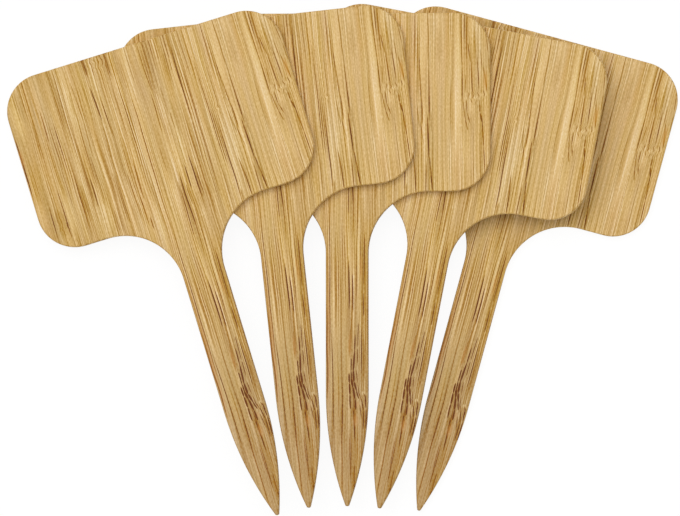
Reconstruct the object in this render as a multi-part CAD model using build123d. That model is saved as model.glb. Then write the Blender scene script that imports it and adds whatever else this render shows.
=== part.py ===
from build123d import *
import math
import os

# A set of five flat bamboo plant labels, fanned out on a table. Each label is a board of bamboo
# strips glued edge to edge, cut to a wide writing head over a stem that ends in a point.
# Millimetres, +Z up. The origin is on the table, under the middle of the whole set.

# One label
label_length = 100.0
label_thickness = 2.0
head_width = 58.4
head_height = 36.2
head_corner_radius = 7.7
shoulder_length = 4.7
stem_width = 8.6
point_length = 23.0
tip_radius = 0.4
edge_bevel = 0.25

# The glued seams, as shares of the head's width from its left edge
seam_shares = (0.0995, 0.2065, 0.3065, 0.4140, 0.5135, 0.6180, 0.6895, 0.7870, 0.9025)

# The fan, from the label on top at the left to the one at the bottom at the right
label_turns = (17.05, 6.15, 0.1, -10.9, -15.2)
tip_x_shares = (-0.2356, -0.1302, 0.0, 0.1081, 0.2408)
tip_y_shares = (-0.0185, -0.0034, 0.0, -0.0041, -0.0087)

# How the labels lie
lying_gap = 0.05
cut_overrun = 1.0

# Worked out from the sizes above
half_head = head_width / 2
half_stem = stem_width / 2
head_bottom = label_length - head_height
neck_radius = half_head - head_corner_radius - shoulder_length - half_stem
bottom_label = len(label_turns)
point_arc_radius = (half_stem**2 + (point_length - tip_radius) ** 2 - tip_radius**2) / (
    2 * (half_stem - tip_radius)
)


def label_outline():
    """One label from above: the tip is at the origin and the head is up along +Y."""
    # The tip's round end meets the long arc of the point where both have the same tangent.
    slope = math.atan2(point_length - tip_radius, point_arc_radius - half_stem)
    meeting = (
        tip_radius * math.cos(slope),
        tip_radius - tip_radius * math.sin(slope),
    )
    with BuildSketch() as sketch:
        with BuildLine():
            TangentArc((0, 0), meeting, tangent=(1, 0))
            TangentArc((half_stem, point_length), meeting, tangent=(0, -1))
            Line((half_stem, point_length), (half_stem, head_bottom - neck_radius))
            TangentArc(
                (half_stem, head_bottom - neck_radius),
                (half_stem + neck_radius, head_bottom),
                tangent=(0, 1),
            )
            Line((half_stem + neck_radius, head_bottom), (half_head - head_corner_radius, head_bottom))
            TangentArc(
                (half_head - head_corner_radius, head_bottom),
                (half_head, head_bottom + head_corner_radius),
                tangent=(1, 0),
            )
            Line(
                (half_head, head_bottom + head_corner_radius),
                (half_head, label_length - head_corner_radius),
            )
            TangentArc(
                (half_head, label_length - head_corner_radius),
                (half_head - head_corner_radius, label_length),
                tangent=(0, 1),
            )
            Line((half_head - head_corner_radius, label_length), (0, label_length))
            Line((0, label_length), (0, 0))
        make_face()
        mirror(about=Plane.YZ)
    return sketch.sketch


def label_board():
    """The whole board, with its underside on Z = 0 and its sharp edges rubbed off."""
    board = extrude(label_outline(), label_thickness)
    flat_faces = board.faces().filter_by(Axis.Z)
    return chamfer(flat_faces.edges(), edge_bevel)


def label_strips(board):
    """The board cut at its glued seams, from the left edge to the right."""
    seams = [0.0, *seam_shares, 1.0]
    strips = []
    for left_share, right_share in zip(seams, seams[1:]):
        left = left_share * head_width - half_head
        right = right_share * head_width - half_head
        if left_share == 0.0:
            left -= cut_overrun
        if right_share == 1.0:
            right += cut_overrun
        slab = Box(right - left, label_length + 2 * cut_overrun, label_thickness + 2 * cut_overrun)
        slab_place = Pos((left + right) / 2, label_length / 2, label_thickness / 2)
        strips.append((board & slab_place * slab).solid())
    return strips


def fan_place(label):
    """Where a label's tip is in the fan and how far it is turned, seen flat."""
    x = tip_x_shares[label - 1] * head_width
    y = tip_y_shares[label - 1] * label_length
    return Pos(x, y, 0) * Rot(0, 0, label_turns[label - 1])


# The bottom label lies flat. The four on it hang out past its left edge, too far to balance,
# so they lie as one leaning pile: on the upper left edge of the bottom label's head, and on
# the table where the first of their head corners reaches it.
lean_axis_x = edge_bevel - half_head
lean_axis_z = label_thickness
pile_place = fan_place(bottom_label) * Pos(lean_axis_x, 0, lean_axis_z)


def height_in_pile(label):
    """How far a label's underside is above the lean axis, square to the pile."""
    return lying_gap + (bottom_label - 1 - label) * (label_thickness + lying_gap)


def lean_to_table(label):
    """The lean, in degrees, at which this label's upper left head corner reaches the table."""
    corner = Pos(head_corner_radius - half_head, label_length - head_corner_radius, 0)
    in_pile = (pile_place.inverse() * fan_place(label) * corner).position
    reach = head_corner_radius - edge_bevel - in_pile.X
    height = height_in_pile(label)
    drop = lying_gap - lean_axis_z
    return math.degrees(math.acos(drop / math.hypot(height, reach)) - math.atan2(reach, height))


lean = min(lean_to_table(label) for label in range(1, bottom_label))


def label_place(label):
    """Where a label lies: flat at the bottom, or in the leaning pile."""
    if label == bottom_label:
        return fan_place(label)
    flat_in_pile = pile_place.inverse() * fan_place(label)
    level = Pos(0, 0, lean_axis_z + height_in_pile(label))
    return pile_place * Rot(0, -lean, 0) * level * flat_in_pile


strips = label_strips(label_board())
nodes = {}
for label in range(1, bottom_label + 1):
    for number, strip in enumerate(strips, start=1):
        nodes[f"label_{label}_strip_{number:02d}"] = label_place(label) * strip

box = Compound(list(nodes.values())).bounding_box()
to_origin = Pos(-box.center().X, -box.center().Y, -box.min.Z)

os.makedirs("parts", exist_ok=True)
for name, solid in nodes.items():
    export_step(to_origin * solid, f"parts/{name}.step")

print(f"lean {lean:.2f} degrees, set {box.size.X:.1f} x {box.size.Y:.1f} x {box.size.Z:.1f} mm")
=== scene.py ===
# %% [markdown]
# # A set of bamboo plant labels
#
# The object is a small set of plant labels that lie in a fan. Each label is a flat bamboo board with
# a wide head to write on and a long pointed stem to push into the soil. A board this wide can't be
# cut from one bamboo stalk, whose wall is only a few millimetres thick, so narrow strips are glued
# side by side, planed flat and sanded. This lesson models one board, cuts it into its ten strips,
# lays these out as five labels, and then spends most of its effort on the bamboo itself.

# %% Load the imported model
from math import atan2, cos, degrees, hypot, pi, radians

import bmesh
import bpy
from mathutils import Matrix, Vector


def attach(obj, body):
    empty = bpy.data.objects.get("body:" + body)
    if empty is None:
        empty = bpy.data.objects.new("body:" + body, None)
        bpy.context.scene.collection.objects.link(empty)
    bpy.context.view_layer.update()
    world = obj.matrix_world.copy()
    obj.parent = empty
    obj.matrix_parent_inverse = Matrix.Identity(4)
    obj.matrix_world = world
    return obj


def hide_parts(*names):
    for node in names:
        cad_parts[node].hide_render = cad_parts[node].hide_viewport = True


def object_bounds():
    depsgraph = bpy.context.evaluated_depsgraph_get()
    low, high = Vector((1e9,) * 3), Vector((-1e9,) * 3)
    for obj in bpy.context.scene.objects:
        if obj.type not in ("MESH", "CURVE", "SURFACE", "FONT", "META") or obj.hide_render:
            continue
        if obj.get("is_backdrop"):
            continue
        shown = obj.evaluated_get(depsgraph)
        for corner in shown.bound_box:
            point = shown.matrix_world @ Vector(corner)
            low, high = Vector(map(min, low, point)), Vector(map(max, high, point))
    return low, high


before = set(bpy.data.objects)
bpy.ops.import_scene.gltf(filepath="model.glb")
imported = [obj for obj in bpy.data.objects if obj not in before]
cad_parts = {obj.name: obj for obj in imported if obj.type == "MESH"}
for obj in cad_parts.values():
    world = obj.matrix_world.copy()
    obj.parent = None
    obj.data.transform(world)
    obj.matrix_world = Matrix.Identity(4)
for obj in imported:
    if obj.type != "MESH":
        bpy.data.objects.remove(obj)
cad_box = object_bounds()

print("nodes", len(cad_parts))

# %% [markdown]
# ## Sizes
#
# Every length is a real one, given in millimetres and turned to metres by one value, MM. The same
# names are used as in the CAD source, so that both files tell the same story. The board is drawn
# lying flat with its tip at the origin: across it runs X, along it Y, and its thickness is Z.

# %% Sizes of one label
MM = 0.001
LABEL_COUNT = 5
STRIP_COUNT = 10
LABEL_LENGTH = 100.0 * MM
LABEL_THICKNESS = 2.0 * MM
HEAD_WIDTH = 58.4 * MM
HEAD_HEIGHT = 36.2 * MM
HEAD_CORNER_RADIUS = 7.7 * MM
SHOULDER_LENGTH = 4.7 * MM
STEM_WIDTH = 8.6 * MM
POINT_LENGTH = 23.0 * MM
TIP_RADIUS = 0.4 * MM
EDGE_ROUNDING = 0.3 * MM
SEAM_ROUNDING = 0.03 * MM

half_head = HEAD_WIDTH / 2
half_stem = STEM_WIDTH / 2
head_bottom = LABEL_LENGTH - HEAD_HEIGHT
neck_radius = half_head - HEAD_CORNER_RADIUS - SHOULDER_LENGTH - half_stem
point_run = POINT_LENGTH - TIP_RADIUS
point_radius = (half_stem**2 + point_run**2 - TIP_RADIUS**2) / (2 * (half_stem - TIP_RADIUS))
print("neck radius %.1f mm, point radius %.1f mm" % (neck_radius / MM, point_radius / MM))

# %% [markdown]
# ## Where each label lies
#
# The CAD nodes say where everything goes. For each label its own directions are read from one strip
# in its middle: the largest face gives the way up, and the largest side that looks towards the last
# strip gives the way across. The furthest points along these directions then give the tip. Measuring
# is safer than copying numbers: if the CAD changes, the scene follows.


# %% Read a label's place from its CAD strips
MIDDLE_STRIP = 5
# Limits on a face's normal: how far up it points, and how square to the way up it is.
FACES_UP = 0.9
SQUARE_TO_UP = 0.01


def node_name(label, strip):
    return "label_%d_strip_%02d" % (label, strip)


def node_points(label, strip):
    return [v.co.copy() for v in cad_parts[node_name(label, strip)].data.vertices]


def largest_face(mesh, wanted):
    faces = [face for face in mesh.polygons if wanted(face.normal)]
    return max(faces, key=lambda face: face.area).normal.copy()


def place_of(label):
    """Work out how a label is turned and where the lowest point of its tip lies."""
    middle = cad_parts[node_name(label, MIDDLE_STRIP)].data
    up = largest_face(middle, lambda n: n.z > FACES_UP)
    first = node_points(label, 1)
    last = node_points(label, STRIP_COUNT)
    towards = sum(last, Vector()) / len(last) - sum(first, Vector()) / len(first)
    across = largest_face(middle, lambda n: abs(n.dot(up)) < SQUARE_TO_UP and n.dot(towards) > 0)
    across = (across - up * across.dot(up)).normalized()
    along = up.cross(across)
    tip = node_points(label, MIDDLE_STRIP)
    middle_across = (min(p.dot(across) for p in first) + max(p.dot(across) for p in last)) / 2
    corner = across * middle_across
    corner += along * min(p.dot(along) for p in tip)
    corner += up * min(p.dot(up) for p in tip)
    place = Matrix((across, along, up)).transposed().to_4x4()
    place.translation = corner
    return place


places = {label: place_of(label) for label in range(1, LABEL_COUNT + 1)}
for label, place in places.items():
    turn = degrees(atan2(place[1][0], place[0][0]))
    tip = tuple(c / MM for c in place.translation)
    print("label %d turned by %.2f degrees," % (label, turn), "tip at %.2f, %.2f, %.2f mm" % tip)

# %% Read the seams between the strips
flat_place = places[LABEL_COUNT].inverted()
strip_sides = []
for strip in range(1, STRIP_COUNT + 1):
    widths = [(flat_place @ p).x for p in node_points(LABEL_COUNT, strip)]
    strip_sides.append((min(widths), max(widths)))
print("strips, mm:", " ".join("%.2f..%.2f" % (a / MM, b / MM) for a, b in strip_sides))

# %% [markdown]
# ## The board's outline
#
# A real label is cut from the board by a laser or a router that follows one outline. The same is done
# here: one vertex starts at the tip, and each arc is a spin of it and each straight run an
# extrusion. Only the right half is drawn, and a mirror gives the left. A modelled curve with a
# bevel would also work, but bmesh operators keep every arc centre and radius exact.


# %% Helpers that draw an outline and round its edges
ROUND_PROFILE = 0.5


def run_to(mesh, vert, x, y):
    """Extrude a vertex in a straight run to a place."""
    new = bmesh.ops.extrude_vert_indiv(mesh, verts=[vert])["verts"][0]
    bmesh.ops.translate(mesh, verts=[new], vec=Vector((x, y, 0)) - new.co)
    return new


def arc_round(mesh, vert, centre_x, centre_y, turn, steps):
    """Spin a vertex about a centre, anticlockwise where turn is positive."""
    made = bmesh.ops.spin(
        mesh,
        geom=[vert],
        cent=(centre_x, centre_y, 0),
        axis=(0, 0, 1),
        angle=turn,
        steps=steps,
        use_merge=False,
        use_duplicate=False,
    )
    return [item for item in made["geom_last"] if isinstance(item, bmesh.types.BMVert)][0]


def round_off(mesh, edges, radius, steps):
    bmesh.ops.bevel(
        mesh,
        geom=edges,
        offset=radius,
        offset_type="OFFSET",
        affect="EDGES",
        segments=steps,
        profile=ROUND_PROFILE,
        clamp_overlap=False,
        material=-1,
    )


# %% Draw the outline and give it its thickness
QUARTER = radians(90)
TIP_STEPS = 8
POINT_STEPS = 24
NECK_STEPS = 24
CORNER_STEPS = 18
EDGE_STEPS = 4
SEAM_STEPS = 1
MERGE_DISTANCE = 1e-7
# An edge is level when the heights of its ends differ by less than this.
LEVEL = 1e-9


def sanded_board():
    mesh = bmesh.new()
    point_turn = atan2(point_run, point_radius - half_stem)
    corner_x = half_head - HEAD_CORNER_RADIUS
    vert = mesh.verts.new((0, 0, 0))
    vert = arc_round(mesh, vert, 0, TIP_RADIUS, QUARTER - point_turn, TIP_STEPS)
    vert = arc_round(mesh, vert, half_stem - point_radius, POINT_LENGTH, point_turn, POINT_STEPS)
    vert = run_to(mesh, vert, half_stem, head_bottom - neck_radius)
    vert = arc_round(mesh, vert, half_stem + neck_radius, head_bottom - neck_radius, -QUARTER, NECK_STEPS)
    vert = run_to(mesh, vert, corner_x, head_bottom)
    vert = arc_round(mesh, vert, corner_x, head_bottom + HEAD_CORNER_RADIUS, QUARTER, CORNER_STEPS)
    vert = run_to(mesh, vert, half_head, LABEL_LENGTH - HEAD_CORNER_RADIUS)
    vert = arc_round(mesh, vert, corner_x, LABEL_LENGTH - HEAD_CORNER_RADIUS, QUARTER, CORNER_STEPS)
    run_to(mesh, vert, 0, LABEL_LENGTH)
    bmesh.ops.mirror(mesh, geom=mesh.verts[:] + mesh.edges[:], axis="X", merge_dist=MERGE_DISTANCE)
    bmesh.ops.remove_doubles(mesh, verts=mesh.verts[:], dist=MERGE_DISTANCE)
    bmesh.ops.contextual_create(mesh, geom=mesh.edges[:])
    bottom = mesh.faces[:]
    top = bmesh.ops.extrude_face_region(mesh, geom=bottom, use_keep_orig=True)["geom"]
    top_verts = [item for item in top if isinstance(item, bmesh.types.BMVert)]
    bmesh.ops.translate(mesh, verts=top_verts, vec=(0, 0, LABEL_THICKNESS))
    bmesh.ops.recalc_face_normals(mesh, faces=mesh.faces[:])
    rims = [edge for edge in mesh.edges if abs(edge.verts[0].co.z - edge.verts[1].co.z) < LEVEL]
    round_off(mesh, rims, EDGE_ROUNDING, EDGE_STEPS)
    return mesh


board = sanded_board()
print("board: %d vertices, %d faces" % (len(board.verts), len(board.faces)))
print("open edges:", sum(1 for edge in board.edges if not edge.is_manifold))

# %% [markdown]
# ## Cutting the board into its strips
#
# The strips of the real board run its whole length, and the outline is cut through them all. So each
# strip here is the finished board, cut by a plane at its two seams. The cut sides are filled and get a
# very small rounding, because glued bamboo shows a hairline where two strips meet. Recalculated
# normals can leave such a shell inside out, so the sign of its volume is checked too.
#
# The grain has to follow the label, not the world, and it must be the same wood on the top, the
# edges and the back. Each vertex therefore keeps its place in the flat board as an attribute named
# grain, in metres, and the materials read that.


# %% Helpers that cut out one strip
CUT_DISTANCE = 1e-8
# A face is flat when its normal lies this close to an axis of the board.
FLAT = 0.999


def cut_side(mesh, x, keep_right):
    """Cut the board along a seam, keep one side and close it. Returns the new side's edges."""
    normal = (-1, 0, 0) if keep_right else (1, 0, 0)
    everything = mesh.verts[:] + mesh.edges[:] + mesh.faces[:]
    bmesh.ops.bisect_plane(
        mesh,
        geom=everything,
        dist=CUT_DISTANCE,
        plane_co=(x, 0, 0),
        plane_no=normal,
        clear_outer=True,
        clear_inner=False,
    )
    rim = [edge for edge in mesh.edges if edge.is_boundary]
    side = bmesh.ops.contextual_create(mesh, geom=rim)["faces"]
    return [edge for face in side for edge in face.edges]


def cut_strip(strip):
    left, right = strip_sides[strip - 1]
    mesh = board.copy()
    seams = []
    if strip > 1:
        seams += cut_side(mesh, left, keep_right=True)
    if strip < STRIP_COUNT:
        seams += cut_side(mesh, right, keep_right=False)
    seams = [edge for edge in seams if edge.is_valid]
    round_off(mesh, seams, SEAM_ROUNDING, SEAM_STEPS)
    bmesh.ops.recalc_face_normals(mesh, faces=mesh.faces[:])
    if mesh.calc_volume(signed=True) < 0:
        bmesh.ops.reverse_faces(mesh, faces=mesh.faces[:])
    return mesh


def make_mesh(name, mesh, place):
    """Store each vertex's place in the board, shade the rims softly and lay the piece in place."""
    grain = mesh.verts.layers.float_vector.new("grain")
    for vert in mesh.verts:
        vert[grain] = vert.co
    for face in mesh.faces:
        face.smooth = abs(face.normal.z) < FLAT and abs(face.normal.x) < FLAT
    bmesh.ops.transform(mesh, matrix=place, verts=mesh.verts[:])
    data = bpy.data.meshes.new(name)
    mesh.to_mesh(data)
    mesh.free()
    return data


# %% Cut ten strips for each of the five labels
pieces = {}
label_volume = 0.0
for label, place in places.items():
    for strip in range(1, STRIP_COUNT + 1):
        name = "label_%d_bamboo_%02d" % (label, strip)
        cut = cut_strip(strip)
        label_volume += cut.calc_volume(signed=True) / LABEL_COUNT
        piece = bpy.data.objects.new(name, make_mesh(name, cut, place))
        bpy.context.scene.collection.objects.link(piece)
        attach(piece, "label_%d" % label)
        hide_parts(node_name(label, strip))
        pieces[label, strip] = piece
board.free()
print("pieces %d, one label holds %.0f cubic millimetres of wood" % (len(pieces), label_volume / MM**3))

# %% [markdown]
# ## Bamboo
#
# Sanded bamboo is straw coloured. It has no growth rings: what the eye reads as grain are the plant's
# fibre bundles, thin brown lines that run the strip's whole length and thin out towards the inside
# of the stalk. Every 20 to 40 cm a stalk has a node, a closed joint where the fibres swerve, cross and
# turn brown. Strips from different stalks differ a little in tone, and that is what makes the seams
# of a glued board visible.
#
# So the material is built from one number, the tone, from 0 for the darkest fibre to 1 for the palest
# pith. Every feature adds to it or takes from it, and one colour ramp turns the result into bamboo.


# %% Helpers for materials
def to_linear(hex_colour):
    """Turn an sRGB hex colour into linear values, by the formula of the sRGB standard."""
    channels = [int(hex_colour[i : i + 2], 16) / 255 for i in (0, 2, 4)]
    linear = [c / 12.92 if c <= 0.04045 else ((c + 0.055) / 1.055) ** 2.4 for c in channels]
    return (*linear, 1.0)


def add_node(material, kind, inputs=None, **settings):
    """Add a node. An input is a value or another node's socket, keyed by socket name or number."""
    node = material.node_tree.nodes.new(kind)
    for key, value in settings.items():
        setattr(node, key, value)
    for key, value in (inputs or {}).items():
        if isinstance(value, bpy.types.NodeSocket):
            material.node_tree.links.new(value, node.inputs[key])
        else:
            node.inputs[key].default_value = value
    return node


# %% The colours of bamboo, from the darkest fibre to the palest pith
BAMBOO_TONES = (
    (0.00, "6a3400"),
    (0.13, "945d0c"),
    (0.27, "a57725"),
    (0.40, "b18941"),
    (0.53, "c09b59"),
    (0.60, "c7a363"),
    (0.67, "ceaa6c"),
    (0.73, "d5b275"),
    (0.80, "dcba7f"),
    (0.87, "e2c288"),
    (1.00, "eed4a6"),
)
WARM_TINT = "c98a3c"
# How pale each strip is and how strong its quiet figure is, from the left edge to the right.
STRIP_TONES = (0.605, 0.62, 0.66, 0.65, 0.68, 0.645, 0.695, 0.70, 0.71, 0.685)
STRIP_FIGURES = (0.85, 1.0, 1.05, 1.05, 0.95, 1.1, 1.0, 1.0, 0.95, 0.9)
print("colours", len(BAMBOO_TONES), "strip tones %.2f to %.2f" % (min(STRIP_TONES), max(STRIP_TONES)))
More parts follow.
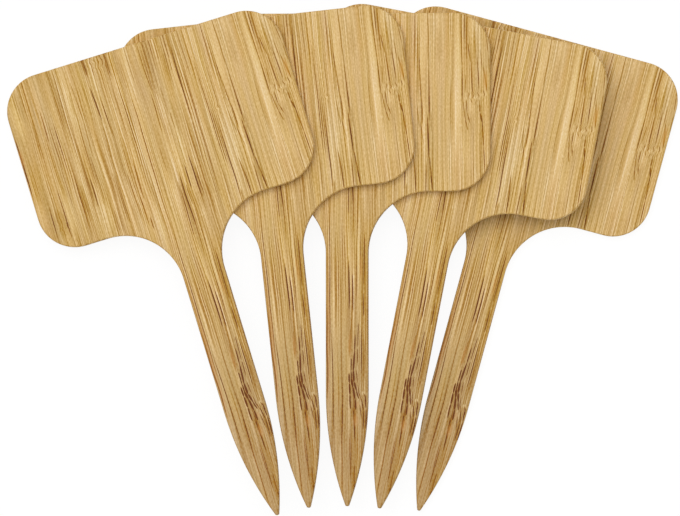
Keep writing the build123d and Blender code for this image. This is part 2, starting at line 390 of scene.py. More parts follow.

# %% [markdown]
# ## The grain of this board
#
# One board's figure was drawn: each row is a fibre bundle that stands out, with the place of
# its upper end, the place of its lower end, how far it spreads to each side and how much darker
# it is. Places are millimetres across from the board's middle line and up from the tip. Patches are
# broader, and a negative depth makes one paler, as where the cut runs through soft pith. Sap has
# stained the warm patches, and in the calm ones the figure fades, since the cut runs between the
# bundles. The last table holds the nodes of the stalks. Leaving all of this to noise would give
# bamboo, but not the bold lines that the eye picks out first.

# %% Fibre bundles: across and up at one end, across and up at the other, half width, depth
FIBRES = (
    (24.72, 83.8, 24.84, 82.5, 0.16, 0.34),
    (25.81, 83.9, 25.73, 82.6, 0.16, 0.34),
    (26.93, 84.0, 26.83, 82.7, 0.18, 0.36),
    (27.97, 84.2, 28.01, 83.0, 0.16, 0.32),
    (25.28, 82.6, 25.53, 81.6, 0.16, 0.22),
    (26.34, 82.2, 26.06, 81.2, 0.16, 0.22),
    (-28.94, 88.5, -28.88, 76.7, 0.30, 0.34),
    (-26.89, 97.8, -26.89, 91.7, 0.18, 0.16),
    (-26.48, 97.8, -26.44, 91.3, 0.18, 0.16),
    (-25.87, 97.8, -25.87, 90.9, 0.18, 0.16),
    (-25.24, 97.0, -25.24, 91.7, 0.18, 0.10),
    (-27.78, 89.3, -27.38, 75.9, 0.18, 0.12),
    (-24.61, 90.9, -24.74, 83.6, 0.20, 0.20),
    (-25.35, 78.3, -25.35, 69.4, 0.22, 0.14),
    (-26.16, 73.4, -26.36, 65.7, 0.20, 0.20),
    (-23.64, 75.9, -23.68, 65.7, 0.22, 0.28),
    (-22.58, 92.5, -22.52, 86.0, 0.24, 0.34),
    (-21.57, 90.1, -21.49, 79.9, 0.22, 0.28),
    (-22.87, 87.3, -23.01, 76.7, 0.18, 0.22),
    (-22.18, 86.4, -22.09, 74.3, 0.18, 0.22),
    (-21.77, 81.6, -21.61, 72.2, 0.18, 0.22),
    (-21.08, 85.6, -21.08, 73.0, 0.18, 0.22),
    (-20.57, 88.9, -20.61, 74.3, 0.18, 0.20),
    (-20.02, 85.6, -20.14, 75.1, 0.18, 0.20),
    (-19.58, 78.3, -19.58, 65.3, 0.20, 0.20),
    (-18.84, 100.7, -18.64, 87.3, 0.22, 0.22),
    (-18.19, 100.7, -18.23, 88.1, 0.20, 0.20),
    (-17.73, 100.3, -17.71, 81.2, 0.20, 0.18),
    (-18.88, 75.5, -19.05, 65.3, 0.18, 0.14),
    (-17.18, 86.9, -17.18, 71.0, 0.22, 0.32),
    (-16.73, 76.3, -16.71, 70.6, 0.24, 0.36),
    (-15.96, 94.2, -15.92, 89.3, 0.20, 0.26),
    (-15.59, 90.1, -15.84, 72.2, 0.20, 0.20),
    (-14.98, 95.8, -14.58, 88.1, 0.26, 0.34),
    (-14.58, 88.9, -14.68, 79.9, 0.22, 0.24),
    (-15.23, 80.8, -15.19, 71.0, 0.20, 0.20),
    (-13.87, 90.5, -13.76, 71.0, 0.22, 0.24),
    (-12.75, 84.8, -12.67, 70.6, 0.24, 0.24),
    (-12.14, 77.1, -12.14, 66.1, 0.18, 0.20),
    (-11.77, 75.9, -11.73, 66.1, 0.24, 0.36),
    (-11.39, 75.5, -11.41, 65.7, 0.18, 0.24),
    (-13.91, 69.0, -13.89, 64.1, 0.20, 0.26),
    (-13.16, 69.0, -13.16, 64.1, 0.20, 0.22),
    (-11.29, 100.9, -11.06, 96.4, 0.33, 0.20),
    (-9.76, 100.3, -9.74, 96.2, 0.20, 0.20),
    (-7.59, 100.7, -7.43, 97.8, 0.24, 0.26),
    (-6.61, 100.7, -6.49, 95.4, 0.28, 0.28),
    (-11.18, 94.0, -10.76, 86.9, 0.28, 0.38),
    (-10.92, 86.9, -10.88, 69.8, 0.20, 0.20),
    (-9.90, 92.1, -9.42, 83.2, 0.22, 0.24),
    (-6.94, 93.4, -6.78, 80.4, 0.20, 0.20),
    (-7.30, 85.6, -7.39, 76.3, 0.20, 0.20),
    (-7.73, 82.4, -7.75, 70.2, 0.20, 0.20),
    (-7.22, 77.1, -7.26, 69.4, 0.28, 0.38),
    (-8.91, 75.1, -8.89, 65.7, 0.24, 0.30),
    (-8.36, 82.4, -8.28, 69.4, 0.18, 0.16),
    (-7.87, 70.2, -7.83, 64.1, 0.26, 0.28),
    (-7.20, 65.3, -7.20, 62.9, 0.26, 0.38),
    (-8.60, 69.4, -8.64, 63.7, 0.20, 0.24),
    (-5.70, 92.5, -5.72, 80.4, 0.20, 0.18),
    (-5.19, 89.7, -5.15, 66.5, 0.24, 0.26),
    (-5.56, 82.4, -5.56, 66.9, 0.18, 0.16),
    (-3.85, 90.5, -3.67, 61.3, 0.22, 0.28),
    (-3.57, 64.1, -3.40, 50.3, 0.20, 0.26),
    (-3.40, 51.9, -3.48, 29.6, 0.20, 0.31),
    (-4.10, 41.0, -4.02, 22.0, 0.34, 0.30),
    (-2.22, 100.7, -2.18, 92.5, 0.18, 0.12),
    (-1.21, 78.3, -1.19, 73.4, 0.20, 0.16),
    (0.52, 99.9, 0.56, 89.7, 0.22, 0.26),
    (0.94, 99.5, 0.94, 89.3, 0.18, 0.24),
    (1.43, 100.7, 1.45, 89.3, 0.24, 0.32),
    (2.27, 99.9, 2.29, 89.7, 0.20, 0.20),
    (0.17, 89.3, 0.15, 81.2, 0.24, 0.26),
    (0.70, 88.9, 0.70, 81.6, 0.20, 0.22),
    (2.65, 90.1, 2.69, 84.0, 0.24, 0.28),
    (3.06, 84.8, 3.10, 80.8, 0.22, 0.26),
    (3.04, 80.8, 3.04, 72.2, 0.22, 0.26),
    (2.81, 73.4, 2.83, 68.6, 0.26, 0.38),
    (4.15, 75.1, 4.28, 66.5, 0.22, 0.34),
    (4.72, 72.6, 4.76, 66.5, 0.20, 0.28),
    (0.38, 70.6, 0.56, 62.1, 0.26, 0.38),
    (1.19, 71.8, 1.25, 61.3, 0.26, 0.40),
    (1.94, 69.8, 1.96, 65.3, 0.24, 0.36),
    (2.41, 68.2, 2.41, 59.2, 0.20, 0.22),
    (0.54, 64.9, 0.56, 59.2, 0.20, 0.28),
    (1.35, 63.7, 1.33, 54.8, 0.20, 0.28),
    (2.12, 64.1, 2.16, 53.9, 0.20, 0.24),
    (3.91, 99.9, 3.91, 95.4, 0.20, 0.16),
    (5.94, 101.1, 5.94, 95.0, 0.28, 0.40),
    (5.90, 95.8, 5.86, 92.5, 0.20, 0.18),
    (6.82, 96.6, 6.71, 81.6, 0.26, 0.34),
    (6.71, 82.4, 6.67, 65.3, 0.24, 0.30),
    (7.26, 95.4, 7.26, 64.1, 0.20, 0.26),
    (7.89, 91.7, 7.89, 65.7, 0.26, 0.40),
    (5.98, 68.6, 6.02, 62.1, 0.22, 0.24),
    (8.91, 100.3, 8.93, 90.9, 0.18, 0.12),
    (9.92, 95.8, 9.92, 89.3, 0.18, 0.16),
    (10.53, 93.4, 10.70, 78.3, 0.24, 0.30),
    (10.66, 83.2, 10.62, 71.4, 0.20, 0.28),
    (10.98, 82.4, 11.02, 71.4, 0.20, 0.28),
    (11.63, 79.9, 11.67, 64.1, 0.22, 0.24),
    (9.80, 70.2, 9.80, 64.1, 0.20, 0.18),
    (12.75, 91.3, 12.81, 80.4, 0.20, 0.14),
    (13.79, 100.7, 13.91, 88.1, 0.20, 0.24),
    (14.27, 100.7, 14.60, 82.4, 0.22, 0.24),
    (14.25, 87.3, 14.31, 81.6, 0.20, 0.20),
    (14.37, 81.6, 14.78, 76.7, 0.24, 0.30),
    (14.76, 91.3, 15.27, 82.0, 0.26, 0.28),
    (15.37, 82.4, 15.45, 77.5, 0.26, 0.36),
    (15.00, 77.9, 15.65, 73.4, 0.20, 0.20),
    (13.62, 71.4, 14.01, 63.7, 0.30, 0.42),
    (12.10, 65.3, 12.10, 62.9, 0.26, 0.30),
    (16.47, 100.7, 16.49, 90.5, 0.28, 0.32),
    (16.67, 92.1, 16.87, 78.7, 0.26, 0.34),
    (16.51, 79.1, 16.75, 70.6, 0.30, 0.46),
    (17.20, 79.9, 17.24, 75.9, 0.22, 0.24),
    (16.91, 70.6, 17.44, 64.1, 0.28, 0.36),
    (16.24, 69.4, 16.14, 63.7, 0.26, 0.36),
    (20.16, 84.4, 20.12, 65.3, 0.18, 0.14),
    (21.24, 85.6, 21.18, 73.0, 0.22, 0.20),
    (21.10, 99.9, 21.14, 95.4, 0.18, 0.12),
    (-1.27, 46.8, -1.09, 25.9, 0.18, 0.16),
    (-1.09, 27.5, -0.84, 2.7, 0.22, 0.20),
    (0.40, 49.5, 0.42, 40.1, 0.26, 0.80),
    (1.15, 46.8, 1.35, 39.5, 0.26, 0.78),
    (3.59, 55.2, 3.55, 44.6, 0.26, 0.36),
    (3.50, 43.0, 3.55, 38.5, 0.22, 0.44),
    (1.47, 8.4, 1.47, 2.7, 0.24, 0.18),
    (23.35, 100.7, 23.40, 89.3, 0.20, 0.30),
    (23.40, 90.5, 23.48, 82.4, 0.18, 0.18),
    (24.70, 93.8, 25.20, 89.9, 0.22, 0.30),
    (25.20, 89.9, 25.55, 83.6, 0.22, 0.30),
    (25.04, 95.4, 25.39, 87.7, 0.20, 0.24),
    (23.90, 99.9, 23.94, 94.6, 0.20, 0.22),
    (24.39, 99.0, 24.43, 90.5, 0.20, 0.20),
    (24.19, 87.3, 24.02, 84.0, 0.20, 0.26),
    (26.02, 97.4, 26.14, 91.3, 0.20, 0.22),
    (26.50, 91.3, 26.93, 84.2, 0.26, 0.34),
    (27.23, 92.5, 27.60, 88.5, 0.20, 0.22),
    (27.80, 89.3, 28.70, 83.8, 0.33, 0.26),
    (28.43, 95.8, 28.94, 91.5, 0.22, 0.26),
    (28.94, 91.5, 29.10, 87.7, 0.22, 0.26),
    (24.37, 82.4, 24.53, 79.7, 0.22, 0.34),
    (24.53, 79.7, 25.20, 77.5, 0.22, 0.34),
    (23.68, 82.0, 24.19, 78.3, 0.22, 0.30),
    (24.19, 78.3, 24.76, 76.1, 0.22, 0.30),
    (26.99, 82.2, 27.11, 79.7, 0.35, 0.30),
    (27.11, 79.7, 27.56, 77.7, 0.35, 0.30),
    (27.56, 77.9, 27.95, 72.8, 0.24, 0.30),
    (27.95, 72.8, 28.05, 67.8, 0.24, 0.30),
    (25.85, 76.7, 25.95, 66.9, 0.20, 0.16),
    (0.78, 36.5, 0.50, 30.4, 0.39, 0.26),
    (1.81, 34.6, 1.69, 31.4, 0.26, 0.52),
    (1.69, 31.4, 1.46, 27.4, 0.36, 0.70),
    (1.46, 27.4, 1.54, 25.2, 0.40, 0.76),
    (1.54, 25.2, 1.96, 23.4, 0.36, 0.72),
    (1.96, 23.4, 2.34, 21.8, 0.28, 0.56),
    (1.00, 29.8, 0.92, 27.4, 0.36, 0.70),
    (0.92, 27.4, 0.98, 25.9, 0.40, 0.76),
    (0.98, 25.9, 1.26, 24.1, 0.40, 0.76),
    (1.26, 24.1, 1.62, 21.7, 0.40, 0.70),
    (1.62, 21.7, 1.70, 19.6, 0.36, 0.54),
    (0.40, 26.9, 0.40, 24.9, 0.36, 0.68),
    (0.40, 24.9, 0.46, 22.6, 0.38, 0.68),
    (0.46, 22.6, 0.60, 19.8, 0.36, 0.56),
    (2.45, 37.3, 2.31, 32.0, 0.20, 0.40),
    (2.31, 32.0, 2.25, 28.7, 0.20, 0.40),
    (3.02, 35.7, 3.06, 27.1, 0.20, 0.26),
    (3.59, 34.4, 3.63, 25.5, 0.20, 0.24),
    (3.59, 22.9, 3.95, 21.2, 0.22, 0.46),
    (3.02, 21.6, 3.30, 19.4, 0.22, 0.50),
    (3.30, 19.4, 3.18, 15.7, 0.22, 0.44),
    (3.71, 22.0, 3.83, 19.8, 0.24, 0.54),
    (3.83, 19.8, 3.71, 15.7, 0.24, 0.48),
    (2.61, 20.6, 2.77, 17.8, 0.20, 0.30),
    (1.19, 19.4, 1.47, 13.3, 0.24, 0.26),
    (2.04, 17.4, 2.00, 8.8, 0.20, 0.20),
    (0.58, 15.3, 0.74, 5.2, 0.20, 0.20),
    (-3.16, 35.7, -2.67, 15.3, 0.20, 0.26),
    (-1.90, 33.6, -1.70, 17.4, 0.18, 0.18),
    (-0.23, 35.7, -0.15, 17.4, 0.18, 0.16),
    (-2.49, 51.9, -2.39, 35.7, 0.18, 0.16),
    (-0.31, 54.8, -0.23, 41.8, 0.20, 0.24),
    (2.00, 53.9, 2.06, 41.8, 0.20, 0.20),
    (2.81, 54.8, 2.85, 46.6, 0.20, 0.24),
    (-1.74, 56.0, -1.62, 41.8, 0.18, 0.18),
    (2.20, 23.5, 2.90, 21.4, 0.18, 0.26),
    (2.12, 27.5, 2.27, 24.7, 0.20, 0.34),
    (2.27, 24.7, 2.45, 22.7, 0.20, 0.34),
)
print(len(FIBRES), "fibre bundles")

# %% Patches: across, up, half width, half height, depth
PATCHES = (
    (-22.60, 70.8, 1.02, 5.7, -0.16),
    (-16.69, 89.3, 0.57, 12.2, -0.14),
    (-15.39, 68.2, 1.22, 3.7, -0.14),
    (-3.81, 86.0, 1.32, 12.4, -0.11),
    (1.47, 85.2, 1.02, 5.7, -0.12),
    (1.47, 75.9, 1.42, 6.9, -0.14),
    (-0.15, 90.5, 1.83, 10.2, 0.05),
    (-9.80, 71.4, 0.91, 5.3, -0.12),
    (15.59, 92.5, 0.81, 11.4, -0.12),
    (22.52, 84.0, 0.93, 18.7, -0.15),
    (24.23, 82.6, 0.39, 0.7, -0.12),
    (25.24, 83.1, 0.39, 0.6, -0.13),
    (26.32, 82.8, 0.45, 0.7, -0.15),
    (27.44, 83.2, 0.45, 0.7, -0.15),
    (28.45, 83.5, 0.37, 0.6, -0.12),
    (26.87, 81.6, 0.49, 0.6, -0.10),
    (25.45, 81.2, 1.02, 2.8, -0.14),
    (25.04, 72.2, 2.03, 5.3, -0.07),
    (-28.19, 72.2, 1.02, 4.5, -0.12),
    (-27.38, 92.1, 1.42, 5.3, -0.12),
    (-21.28, 95.4, 2.23, 5.3, -0.06),
    (-20.57, 90.5, 0.81, 3.3, -0.08),
    (-24.84, 69.4, 1.63, 4.1, 0.14),
    (-11.12, 98.6, 1.02, 2.6, 0.16),
    (-6.25, 97.4, 1.42, 4.5, 0.12),
    (7.16, 97.8, 1.22, 4.5, 0.10),
    (6.47, 80.4, 0.33, 14.2, -0.14),
    (8.50, 80.4, 0.30, 14.2, -0.12),
    (3.91, 70.2, 2.03, 6.9, 0.08),
    (3.50, 65.7, 1.02, 2.4, 0.12),
    (3.34, 22.9, 0.49, 0.5, -0.24),
    (1.30, 23.6, 0.85, 4.4, 0.10),
    (2.81, 20.6, 0.24, 1.2, -0.16),
    (1.45, 19.2, 0.95, 2.4, 0.15),
    (-1.13, 25.5, 0.37, 16.3, 0.18),
    (-1.17, 16.4, 0.53, 6.1, 0.14),
    (3.20, 29.6, 1.02, 7.3, 0.08),
    (-2.59, 41.8, 0.24, 12.2, -0.06),
    (1.07, 43.8, 0.24, 8.1, -0.05),
    (-0.05, 27.5, 0.57, 14.2, -0.06),
    (-18.80, 94.0, 0.80, 5.5, -0.04),
    (-3.80, 94.5, 0.80, 4.5, 0.10),
    (5.20, 93.5, 0.80, 5.5, 0.16),
    (14.20, 93.5, 0.80, 5.5, 0.11),
    (18.70, 93.5, 0.80, 5.5, 0.13),
    (26.20, 92.5, 0.80, 5.0, 0.12),
    (-12.70, 84.0, 0.80, 16.0, 0.07),
    (-17.20, 83.0, 0.80, 5.5, -0.15),
    (-5.20, 77.0, 0.80, 10.0, -0.14),
    (-0.80, 77.0, 0.80, 10.0, 0.14),
    (3.70, 83.0, 0.80, 5.5, 0.15),
    (15.70, 77.0, 0.80, 10.0, -0.13),
    (24.70, 77.0, 0.80, 9.0, 0.10),
    (-18.80, 72.5, 0.80, 5.5, 0.19),
    (-15.70, 72.5, 0.80, 5.5, -0.12),
    (0.70, 72.5, 0.80, 5.5, -0.10),
    (5.20, 72.5, 0.80, 5.5, -0.12),
    (14.20, 72.5, 0.80, 5.5, -0.10),
    (21.70, 72.5, 0.80, 5.5, -0.09),
    (0.00, 38.0, 1.20, 7.5, 0.08),
    (1.90, 31.0, 0.70, 13.0, 0.11),
    (-2.20, 40.0, 2.30, 27.0, -0.05),
)
print(sum(1 for patch in PATCHES if patch[4] > 0), "darker patches of", len(PATCHES))

# %% Warm patches, where sap has stained the wood: across, up, half width, half height
WARM_PATCHES = (
    (-28.80, 84.4, 0.49, 2.8),
    (28.29, 86.4, 0.65, 2.8),
    (2.14, 20.6, 0.41, 1.0),
    (0.66, 32.8, 0.49, 3.3),
    (1.57, 17.4, 0.81, 1.8),
    (2.90, 48.3, 0.41, 3.7),
    (-3.81, 33.6, 0.49, 18.3),
)
print(len(WARM_PATCHES), "warm patches")

# %% Calm patches, where the cut runs between the bundles: across, up, half width, half height
CALM_PATCHES = (
    (-21.28, 96.2, 2.64, 6.1),
    (-20.67, 90.5, 1.22, 3.3),
    (-14.37, 97.8, 3.25, 4.5),
    (-22.50, 70.6, 1.22, 6.5),
    (1.47, 77.5, 1.63, 8.9),
    (-0.56, 84.4, 2.44, 18.3),
    (3.91, 90.5, 1.63, 6.9),
    (18.95, 84.4, 2.44, 24.4),
    (22.52, 84.0, 1.02, 22.3),
    (25.24, 74.3, 1.83, 8.5),
    (-28.19, 72.2, 1.22, 5.3),
    (-26.97, 90.9, 2.44, 6.9),
    (15.59, 92.5, 0.81, 11.4),
    (-1.57, 25.5, 1.83, 14.2),
)
print(len(CALM_PATCHES), "calm patches")

# %% Nodes of the stalk, where the fibres swerve: across, up, half width, half height
KNOTS = (
    (-24.74, 68.2, 2.03, 3.0),
    (-8.28, 99.0, 3.66, 3.3),
    (12.04, 82.4, 1.83, 2.0),
    (26.46, 83.0, 3.05, 2.2),
    (3.30, 22.7, 1.02, 1.6),
)
print(len(KNOTS), "nodes")


# %% Helpers that draw patterns on the wood
# How far a mark reaches into the board, in millimetres.
MARK_DEPTH = 1.4
# The share of a mark's radius over which it fades out.
SOFT_EDGE = 0.7


def overlaps(strip, across, half_width):
    """Tell whether a mark at this place can show on a strip."""
    left, right = strip_sides[strip - 1]
    return left / MM - half_width < across < right / MM + half_width


def soft_mark(material, grain, centre, half_width, half_height, strength, edge=SOFT_EDGE, turn=0.0):
    """A long soft mark on the top face that fades out through the board: strength inside, 0 outside."""
    spot = add_node(
        material,
        "ShaderNodeMapping",
        {
            "Vector": grain,
            "Location": (*centre, LABEL_THICKNESS / MM),
            "Rotation": (0, 0, turn),
            "Scale": (half_width, half_height, MARK_DEPTH),
        },
        vector_type="TEXTURE",
    )
    in_spot = {"Vector": spot.outputs[0]}
    ball = add_node(material, "ShaderNodeTexGradient", in_spot, gradient_type="SPHERICAL")
    faded = add_node(
        material,
        "ShaderNodeMapRange",
        {"Value": ball.outputs["Fac"], "From Max": edge, "To Max": strength},
        interpolation_type="SMOOTHSTEP",
    )
    return faded.outputs[0]


def stretched_noise(material, grain, width, length, detail, roughness, seed):
    """Noise drawn out along the fibres. Width and length are the size of its patches, in millimetres."""
    drawn = add_node(
        material,
        "ShaderNodeMapping",
        {"Vector": grain, "Location": (seed, 0, 0), "Scale": (1 / width, 1 / length, 1 / width)},
    )
    noise = add_node(
        material,
        "ShaderNodeTexNoise",
        {"Vector": drawn.outputs[0], "Scale": 1.0, "Detail": detail, "Roughness": roughness},
    )
    return noise.outputs["Fac"]


def joined(material, operation, values):
    """Join many values into one, two at a time: their sum, their product or the largest of them."""
    total = values[0] if values else 0.0
    for value in values[1:]:
        total = add_node(material, "ShaderNodeMath", {0: total, 1: value}, operation=operation).outputs[0]
    return total


def layered(material, start, layers):
    """Lay features over a starting value. Each layer is a value and its weight."""
    total = start
    for value, weight in layers:
        both = {0: value, 1: weight, 2: total}
        total = add_node(material, "ShaderNodeMath", both, operation="MULTIPLY_ADD").outputs[0]
    return total


# %% [markdown]
# Fibres are never quite straight. Their places are pushed sideways a little by a slow noise, and much
# more inside a node, before any other pattern reads them. Everything drawn later then bends together,
# as it does in a real stalk.

# %% Fibres that wander
# How far, and the width and length of each swing, in millimetres.
WANDER = 0.9
WANDER_SIZE = (8.3, 20.0)
KNOT_RIPPLE = 1.6
KNOT_RIPPLE_SIZE = (2.0, 1.4)
# The ripple is strongest at a node's centre and fades out from there.
KNOT_EDGE = 1.0
# The detail and roughness of a slow noise.
SLOW = (2, 0.5)
# What each noise adds to its strip's seed, so that no two patterns line up.
RIPPLE_SEED = 5
BANDS_SEED = 11
FINE_SEED = 17
HAIR_SEED = 23
VESSEL_SEED = 29
HUE_SEED = 37
RICHNESS_SEED = 41


def fibre_places(material, in_board, strip, seed):
    """Push each place sideways, as far as the fibres there stray from a straight run."""
    wander = stretched_noise(material, in_board, *WANDER_SIZE, *SLOW, seed)
    shift = layered(material, -WANDER / 2, [(wander, WANDER)])
    ripple = stretched_noise(material, in_board, *KNOT_RIPPLE_SIZE, *SLOW, seed + RIPPLE_SEED)
    swerve = layered(material, -KNOT_RIPPLE / 2, [(ripple, KNOT_RIPPLE)])
    for across, up, half_width, half_height in KNOTS:
        if overlaps(strip, across, half_width):
            knot = soft_mark(material, in_board, (across, up), half_width, half_height, 1.0, edge=KNOT_EDGE)
            shift = layered(material, shift, [(swerve, knot)])
    sideways = add_node(material, "ShaderNodeCombineXYZ", {"X": shift}).outputs[0]
    moved = add_node(material, "ShaderNodeVectorMath", {0: in_board, 1: sideways}, operation="ADD")
    return moved.outputs[0]


print("fibres wander %.2f mm to each side, and %.2f mm in a node" % (WANDER / 2, (WANDER + KNOT_RIPPLE) / 2))


# %% [markdown]
# The quiet figure is what is left when the bold marks are taken away. It has three noises, from bands
# a few millimetres wide down to single fibres, and two layers of fibre bundles. A bundle is one cell of
# a Voronoi pattern, drawn out until it is about a hundred times longer than wide, with a dark core.
# The finest fibres are really about a tenth of a millimetre wide. They are drawn at two tenths, since
# anything finer falls between the pixels.

# %% The quiet figure
# Each noise: width and length in millimetres, detail, roughness, weight.
BANDS = (2.0, 50.0, 2, 0.5, 0.3)
FINE_FIBRES = (0.5, 33.0, 3, 0.65, 0.62)
HAIR_FIBRES = (0.2, 28.6, 1, 0.5, 1.4)
VESSELS = (0.2, 0.625, 1, 0.5, 0.45)
# Each layer of bundles: spacing across and along in millimetres, core as a share of it, darkness.
BUNDLES = ((0.77, 71.0, 0.2, 0.16), (0.42, 55.0, 0.26, 0.22))


def quiet_figure(material, grain, fine, seed):
    bands = stretched_noise(material, grain, *BANDS[:4], seed + BANDS_SEED)
    hair = stretched_noise(material, grain, *HAIR_FIBRES[:4], seed + HAIR_SEED)
    noises = [(bands, BANDS[4]), (fine, FINE_FIBRES[4]), (hair, HAIR_FIBRES[4])]
    bundles = []
    for width, length, core_share, darkness in BUNDLES:
        cells = add_node(
            material,
            "ShaderNodeMapping",
            {"Vector": grain, "Location": (seed, 0, 0), "Scale": (1 / width, 1 / length, 1 / width)},
        )
        cell = add_node(material, "ShaderNodeTexVoronoi", {"Vector": cells.outputs[0], "Scale": 1.0})
        core = add_node(
            material,
            "ShaderNodeMapRange",
            {
                "Value": cell.outputs["Distance"],
                "From Min": core_share / 2,
                "From Max": core_share,
                "To Min": -darkness,
                "To Max": 0.0,
            },
            interpolation_type="SMOOTHSTEP",
        )
        bundles.append((core.outputs[0], 1.0))
    middle = -sum(weight for noise, weight in noises) / 2
    return layered(material, middle, noises + bundles)


print("bundles every", " and every ".join("%.2f mm" % layer[0] for layer in BUNDLES))


# %% [markdown]
# The bold marks come from the tables above. Where two fibre marks meet, the darker one wins, so that
# a bent line made of several rows keeps one strength. The fine noise makes them uneven along their
# run, because a fibre bundle dips in and out of the sanded surface.

# %% The bold marks
# A fibre's drawn half width, half length and depth, as shares of what its row says, and its soft edge.
FIBRE_SPREAD = 0.58
FIBRE_REACH = 1.2
FIBRE_STRENGTH = 1.5
FIBRE_EDGE = 0.3
# How much of the quiet figure a calm patch takes away, and its soft edge.
CALM_STRENGTH = 0.5
CALM_EDGE = 0.4


def fibre_marks(material, grain, strip):
    marks = []
    for x1, y1, x2, y2, half_width, depth in FIBRES:
        if overlaps(strip, (x1 + x2) / 2, half_width):
            centre = ((x1 + x2) / 2, (y1 + y2) / 2)
            half_run = FIBRE_REACH * hypot(x1 - x2, y1 - y2) / 2
            turn = atan2(x2 - x1, y1 - y2)
            spread = half_width * FIBRE_SPREAD
            strength = depth * FIBRE_STRENGTH
            marks.append(soft_mark(material, grain, centre, spread, half_run, strength, FIBRE_EDGE, turn))
    return joined(material, "MAXIMUM", marks)


def patch_marks(material, grain, strip, darker):
    marks = []
    for across, up, half_width, half_height, depth in PATCHES:
        if overlaps(strip, across, half_width) and (depth > 0) == darker:
            marks.append(soft_mark(material, grain, (across, up), half_width, half_height, abs(depth)))
    return joined(material, "ADD", marks)


def calm_marks(material, grain, strip):
    marks = []
    for across, up, half_width, half_height in CALM_PATCHES:
        if overlaps(strip, across, half_width):
            calm = (CALM_STRENGTH, CALM_EDGE)
            marks.append(soft_mark(material, grain, (across, up), half_width, half_height, *calm))
    return joined(material, "MAXIMUM", marks)


for strip in range(1, STRIP_COUNT + 1):
    bold = sum(overlaps(strip, (x1 + x2) / 2, half_width) for x1, y1, x2, y2, half_width, depth in FIBRES)
    print("strip", strip, "has", bold, "bold fibres")


# %% [markdown]
# The tone is now turned into a colour. A straw-coloured ramp does most of it. Sap has stained a few
# places orange, the wood drifts a little between straw and honey, and low on the stem, where the cut is
# nearer the outside of the stalk, the plain wood between the fibres is greyer.

# %% From tone to colour
STAIN_STRENGTH = 0.38
BASE_HUE = 0.4995
HUE_DRIFT = 0.016
DRIFT_SIZE = (2.2, 20.0)
BASE_RICHNESS = 1.01
RICHNESS_DRIFT = 0.28
RICHNESS_SIZE = (1.7, 16.7)
# The stem gets greyer from one height down to the other, in millimetres above the tip.
STEM_GREYNESS = 0.12
GREYNESS_STARTS = 50.0
GREYNESS_IS_FULL = 20.0
# Below the first tone it is all fibre, and above the second all plain wood.
PLAIN_WOOD = (0.15, 0.4)


def bamboo_colour(material, grain, up_board, tone, strip, seed):
    ramp = add_node(material, "ShaderNodeValToRGB", {"Fac": tone})
    stops = ramp.color_ramp.elements
    for place, colour in BAMBOO_TONES[1:-1]:
        stops.new(place)
    for stop, (place, colour) in zip(stops, BAMBOO_TONES):
        stop.position = place
        stop.color = to_linear(colour)
    colour = ramp.outputs["Color"]
    for across, up, half_width, half_height in WARM_PATCHES:
        if overlaps(strip, across, half_width):
            warmth = soft_mark(material, grain, (across, up), half_width, half_height, STAIN_STRENGTH)
            stained = {0: warmth, 6: colour, 7: to_linear(WARM_TINT)}
            colour = add_node(material, "ShaderNodeMix", stained, data_type="RGBA").outputs[2]
    low_stem = add_node(
        material,
        "ShaderNodeMapRange",
        {
            "Value": up_board,
            "From Min": GREYNESS_STARTS,
            "From Max": GREYNESS_IS_FULL,
            "To Min": 0.0,
            "To Max": -STEM_GREYNESS,
        },
    )
    plain_wood = add_node(
        material,
        "ShaderNodeMapRange",
        {"Value": tone, "From Min": PLAIN_WOOD[0], "From Max": PLAIN_WOOD[1]},
        interpolation_type="SMOOTHSTEP",
    )
    hue_drift = stretched_noise(material, grain, *DRIFT_SIZE, *SLOW, seed + HUE_SEED)
    richness = stretched_noise(material, grain, *RICHNESS_SIZE, *SLOW, seed + RICHNESS_SEED)
    layers = [(richness, RICHNESS_DRIFT), (low_stem.outputs[0], plain_wood.outputs[0])]
    toned = add_node(
        material,
        "ShaderNodeHueSaturation",
        {
            "Hue": layered(material, BASE_HUE - HUE_DRIFT / 2, [(hue_drift, HUE_DRIFT)]),
            "Saturation": layered(material, BASE_RICHNESS - RICHNESS_DRIFT / 2, layers),
            "Value": 1.0,
            "Color": colour,
        },
    )
    return toned.outputs[0]


drifts = (100 * RICHNESS_DRIFT / 2, 100 * HUE_DRIFT / 2)
print("saturation drifts %.0f percent to each side, hue %.1f percent" % drifts)


# %% [markdown]
# All of it comes together in one material for each strip. The stem is darker towards its tip, and the
# sanded rim is drawn a little darker than the faces. The same tone also gives the relief: open fibres
# lie a hundredth of a millimetre or two lower than the wood between.
# Sanded, unlacquered bamboo is dull, with a roughness of about 0.55, and the dark fibres are duller yet.

# %% The bamboo of one strip
STRIP_SEED = 31.7
# How much darker the stem gets at its tip, and from which height, in millimetres above the tip.
STEM_DARKENING = 0.25
STEM_TOP = 64.0
# How much darker the rim is, how far from the board's middle plane it reaches, in millimetres, and
# where it has faded out on the flat face.
RIM_DARKENING = 0.05
RIM_LEVEL = 0.96
FACE_LEVEL = 0.999
# The share of the quiet figure that is left near the tip, and the heights between which it fades.
TIP_CALM = 0.48
FADING_STARTS = 35.0
FADING_IS_FULL = 10.0
# The fine noise, and the weight that it gives to the bold marks.
NOISE_RANGE = (0.3, 0.7)
MARK_WEIGHTS = (-1.3, -0.7)
RELIEF = 0.02 * MM
RELIEF_STRENGTH = 0.5
# A dark and a pale tone, and how rough each is.
ROUGH_TONES = (0.3, 0.8)
ROUGHNESS = (0.62, 0.5)
SHEEN_LEVEL = 0.2


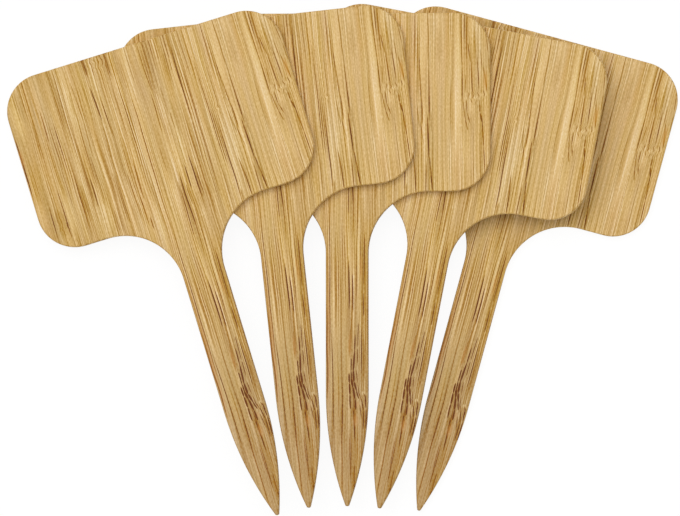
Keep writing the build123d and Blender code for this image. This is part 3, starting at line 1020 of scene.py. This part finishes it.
def bamboo(strip):
    """Sanded bamboo with a dull satin finish, for one strip of the board."""
    material = bpy.data.materials.new("sanded_bamboo_strip_%02d" % strip)
    material.use_nodes = True
    material.node_tree.nodes.clear()
    seed = STRIP_SEED * strip
    stored = add_node(material, "ShaderNodeAttribute", attribute_type="GEOMETRY", attribute_name="grain")
    in_metres = {0: stored.outputs["Vector"], "Scale": 1 / MM}
    in_board = add_node(material, "ShaderNodeVectorMath", in_metres, operation="SCALE").outputs[0]
    place = add_node(material, "ShaderNodeSeparateXYZ", {0: in_board})
    up_board = place.outputs["Y"]
    grain = fibre_places(material, in_board, strip, seed)

    fine = stretched_noise(material, grain, *FINE_FIBRES[:4], seed + FINE_SEED)
    vessels = stretched_noise(material, grain, *VESSELS[:4], seed + VESSEL_SEED)
    towards_tip = add_node(
        material,
        "ShaderNodeMapRange",
        {
            "Value": up_board,
            "From Min": FADING_STARTS,
            "From Max": FADING_IS_FULL,
            "To Min": STRIP_FIGURES[strip - 1],
            "To Max": STRIP_FIGURES[strip - 1] * TIP_CALM,
        },
    )
    calm = calm_marks(material, grain, strip)
    figure = layered(material, towards_tip.outputs[0], [(calm, -1.0)])
    uneven = add_node(
        material,
        "ShaderNodeMapRange",
        {
            "Value": fine,
            "From Min": NOISE_RANGE[0],
            "From Max": NOISE_RANGE[1],
            "To Min": MARK_WEIGHTS[0],
            "To Max": MARK_WEIGHTS[1],
        },
    )
    down_stem = add_node(
        material,
        "ShaderNodeMapRange",
        {"Value": up_board, "From Min": STEM_TOP, "From Max": 0.0, "To Min": 0.0, "To Max": STEM_DARKENING},
    )
    from_middle = {0: place.outputs["Z"], 1: LABEL_THICKNESS / MM / 2}
    from_middle = add_node(material, "ShaderNodeMath", from_middle, operation="SUBTRACT").outputs[0]
    from_middle = add_node(material, "ShaderNodeMath", {0: from_middle}, operation="ABSOLUTE").outputs[0]
    rim = add_node(
        material,
        "ShaderNodeMapRange",
        {
            "Value": from_middle,
            "From Min": FACE_LEVEL,
            "From Max": RIM_LEVEL,
            "To Min": 0.0,
            "To Max": RIM_DARKENING,
        },
        interpolation_type="SMOOTHSTEP",
    )
    layers = [
        (vessels, VESSELS[4]),
        (quiet_figure(material, grain, fine, seed), figure),
        (fibre_marks(material, grain, strip), uneven.outputs[0]),
        (patch_marks(material, grain, strip, darker=True), uneven.outputs[0]),
        (patch_marks(material, grain, strip, darker=False), 1.0),
        (down_stem.outputs[0], -1.0),
        (rim.outputs[0], -1.0),
    ]
    tone = layered(material, STRIP_TONES[strip - 1] - VESSELS[4] / 2, layers)

    colour = bamboo_colour(material, grain, up_board, tone, strip, seed)
    relief = {"Strength": RELIEF_STRENGTH, "Distance": RELIEF, "Height": tone}
    bump = add_node(material, "ShaderNodeBump", relief)
    rough = add_node(
        material,
        "ShaderNodeMapRange",
        {
            "Value": tone,
            "From Min": ROUGH_TONES[0],
            "From Max": ROUGH_TONES[1],
            "To Min": ROUGHNESS[0],
            "To Max": ROUGHNESS[1],
        },
    )
    wood = add_node(
        material,
        "ShaderNodeBsdfPrincipled",
        {
            "Base Color": colour,
            "Roughness": rough.outputs[0],
            "Specular IOR Level": SHEEN_LEVEL,
            "Normal": bump.outputs[0],
        },
    )
    add_node(material, "ShaderNodeOutputMaterial", {"Surface": wood.outputs[0]})
    return material


# %% Give each strip its bamboo
for strip in range(1, STRIP_COUNT + 1):
    wood = bamboo(strip)
    for label in places:
        pieces[label, strip].data.materials.append(wood)
    print(wood.name, len(wood.node_tree.nodes), "nodes")

# %% [markdown]
# ## Floor, light and camera
#
# The labels lie on a plain white floor. Its white comes from the material, which shows as white to the
# camera, so the lamps needn't be turned up and the wood keeps its colours. A part of the floor's own
# shading is kept, and with it the soft shadow that grounds the labels.

# %% The floor
# The floor's size is in metres.
FLOOR_SIZE = 6.0
FLOOR_DROP = 0.01 * MM
FLOOR_WHITENESS = 0.90
FLOOR_GLOW = 1.02
PAPER_COLOUR = "f7f7f7"
WHITE = "ffffff"
SEEN_RAYS = ("Is Camera Ray", "Is Glossy Ray", "Is Transmission Ray")


def seen_directly(material):
    """1 for the rays that show a surface to the viewer, 0 for those that only carry its light."""
    rays = add_node(material, "ShaderNodeLightPath")
    return joined(material, "MAXIMUM", [rays.outputs[ray] for ray in SEEN_RAYS])


floor_mesh = bmesh.new()
bmesh.ops.create_grid(floor_mesh, x_segments=1, y_segments=1, size=FLOOR_SIZE / 2)
bmesh.ops.translate(floor_mesh, verts=floor_mesh.verts[:], vec=(0, 0, -FLOOR_DROP))
floor_data = bpy.data.meshes.new("floor")
floor_mesh.to_mesh(floor_data)
floor_mesh.free()
floor = bpy.data.objects.new("floor", floor_data)
bpy.context.scene.collection.objects.link(floor)
floor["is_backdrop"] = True

paper = bpy.data.materials.new("white_paper")
paper.use_nodes = True
paper.node_tree.nodes.clear()
seen = layered(paper, 0.0, [(seen_directly(paper), FLOOR_WHITENESS)])
shaded = add_node(paper, "ShaderNodeBsdfDiffuse", {"Color": to_linear(PAPER_COLOUR)})
bright = add_node(paper, "ShaderNodeEmission", {"Color": to_linear(WHITE), "Strength": FLOOR_GLOW})
mixed = add_node(paper, "ShaderNodeMixShader", {0: seen, 1: shaded.outputs[0], 2: bright.outputs[0]})
add_node(paper, "ShaderNodeOutputMaterial", {"Surface": mixed.outputs[0]})
floor_data.materials.append(paper)
print("floor %.0f m wide, %.2f mm below the labels" % (FLOOR_SIZE, FLOOR_DROP / MM))

# %% [markdown]
# The light in the picture is soft and comes from the upper left: each label throws a narrow shadow to
# the right and below it onto the next one. A sun lamp with a wide angle does that evenly over the whole
# fan. The world fills the shadows. Together they light a level surface at about 1, so that a colour
# renders as it is written.

# %% Lamp and world
SUN_SHARE = 0.4
SUN_SLANT = radians(22)
SUN_COMPASS = radians(121)
SUN_ANGLE = radians(44)
lamp_data = bpy.data.lights.new("window_light", "SUN")
lamp_data.energy = SUN_SHARE * pi / cos(SUN_SLANT)
lamp_data.angle = SUN_ANGLE
lamp = bpy.data.objects.new("window_light", lamp_data)
lamp.rotation_euler = (0, SUN_SLANT, SUN_COMPASS)
bpy.context.scene.collection.objects.link(lamp)

world = bpy.data.worlds.new("white_room")
bpy.context.scene.world = world
world.use_nodes = True
world.node_tree.nodes.clear()
strength = layered(world, 1 - SUN_SHARE, [(seen_directly(world), SUN_SHARE)])
sky = add_node(world, "ShaderNodeBackground", {"Color": to_linear(WHITE), "Strength": strength})
add_node(world, "ShaderNodeOutputWorld", {"Surface": sky.outputs[0]})
bpy.context.scene.view_settings.view_transform = "Standard"
print("sun %.2f W/m2 and sky %.2f on a level surface" % (lamp_data.energy, 1 - SUN_SHARE))

# %% [markdown]
# The picture looks straight down and has no perspective to speak of: all five labels are the same
# size in it although they lie at different heights. So the camera stands far above with a long lens.

# %% Camera
VIEW_WIDTH = 137.9 * MM
VIEW_HEIGHT_PLANE = 6.0 * MM
VIEW_CENTRE = (-0.50 * MM, 0.26 * MM)
# Blender takes the sensor and the lens in millimetres, and the far end in metres.
SENSOR_WIDTH = 36.0
LENS = 800.0
FAR_END = 20.0
camera_data = bpy.data.cameras.new("camera")
camera_data.sensor_width = SENSOR_WIDTH
camera_data.lens = LENS
camera_data.clip_end = FAR_END
camera = bpy.data.objects.new("camera", camera_data)
camera_distance = VIEW_WIDTH * LENS / SENSOR_WIDTH
camera.location = (*VIEW_CENTRE, VIEW_HEIGHT_PLANE + camera_distance)
bpy.context.scene.collection.objects.link(camera)
bpy.context.scene.camera = camera
print("camera %.2f m above the labels" % camera_distance)

# %% Print the size of the CAD model and of the scene
new_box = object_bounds()
sizes = {
    "cad": [list(corner) for corner in cad_box],
    "visual": [list(corner) for corner in new_box],
}
for name, box in sizes.items():
    print(name, " ".join("%.3f" % (value / MM) for corner in box for value in corner))
